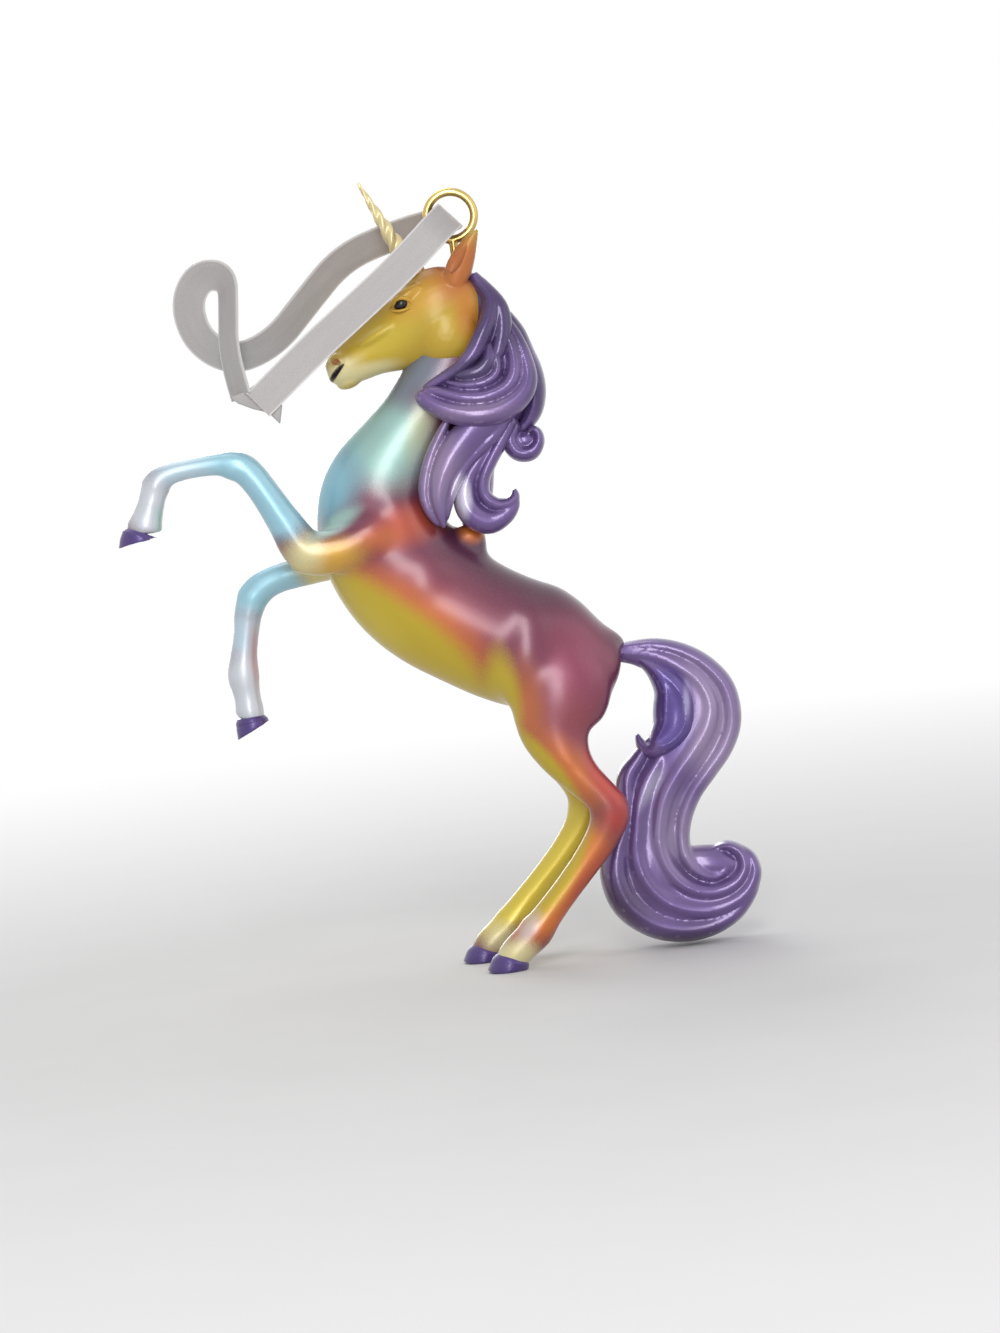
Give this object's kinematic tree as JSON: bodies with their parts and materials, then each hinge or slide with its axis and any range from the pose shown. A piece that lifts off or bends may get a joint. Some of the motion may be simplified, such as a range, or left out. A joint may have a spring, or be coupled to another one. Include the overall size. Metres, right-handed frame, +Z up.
{
  "type": "unicorn figurine",
  "caption": "Rearing unicorn figurine on its hind hooves and curled tail, with a spiral horn, fluted mane and tail locks, a wire eye between the ears and a flat ribbon loop.",
  "frame": {"origin": "on the standing plane, below the middle of the figurine's box", "axes": "+Z up; -X the way the figurine faces, +X towards the tail; -Y the near side, the figurine's own left"},
  "size_m": [0.0841, 0.017, 0.1113],
  "materials": {
    "pearl_coat": "pearly airbrushed paint over cast resin",
    "pearl_blue": "pearly airbrushed paint over cast resin",
    "pearl_hair": "pearly purple paint over cast resin",
    "hoof": "dark purple satin paint",
    "horn": "pearly pale gold paint",
    "eye": "gloss black paint",
    "wire": "plated bent wire",
    "ribbon": "silvery satin ribbon"
  },
  "bodies": {
    "figurine": {"trunk": "pearl_coat", "head": "pearl_coat", "horn": "horn", "ear_near": "pearl_coat", "ear_far": "pearl_coat", "eye_near": "eye", "eye_far": "eye", "hind_leg_near": "pearl_coat", "hind_leg_far": "pearl_coat", "foreleg_near": "pearl_blue", "foreleg_far": "pearl_blue", "hoof_hind_near": "hoof", "hoof_hind_far": "hoof", "hoof_fore_near": "hoof", "hoof_fore_far": "hoof", "tail_crescent": "pearl_hair", "tail_sweep": "pearl_hair", "tail_swirl": "pearl_hair", "mane_crest": "pearl_hair", "mane_back_lock": "pearl_hair", "mane_roll": "pearl_hair", "mane_underlay": "pearl_hair", "mane_long_lock_near": "pearl_hair", "mane_long_lock_far": "pearl_hair", "mane_hook_lock": "pearl_hair", "mane_ball_curl": "pearl_hair", "hanger_eye": "wire"},
    "ribbon_loop": {"ribbon": "ribbon", "ribbon_tab": "ribbon"}
  },
  "joints": [
    {"name": "ribbon_swing", "type": "hinge", "parent": "figurine", "child": "ribbon_loop", "pos_m": [0.009, 0, 0.105], "axis": [0, 1, 0], "range_deg": [0, 150]}
  ]
}
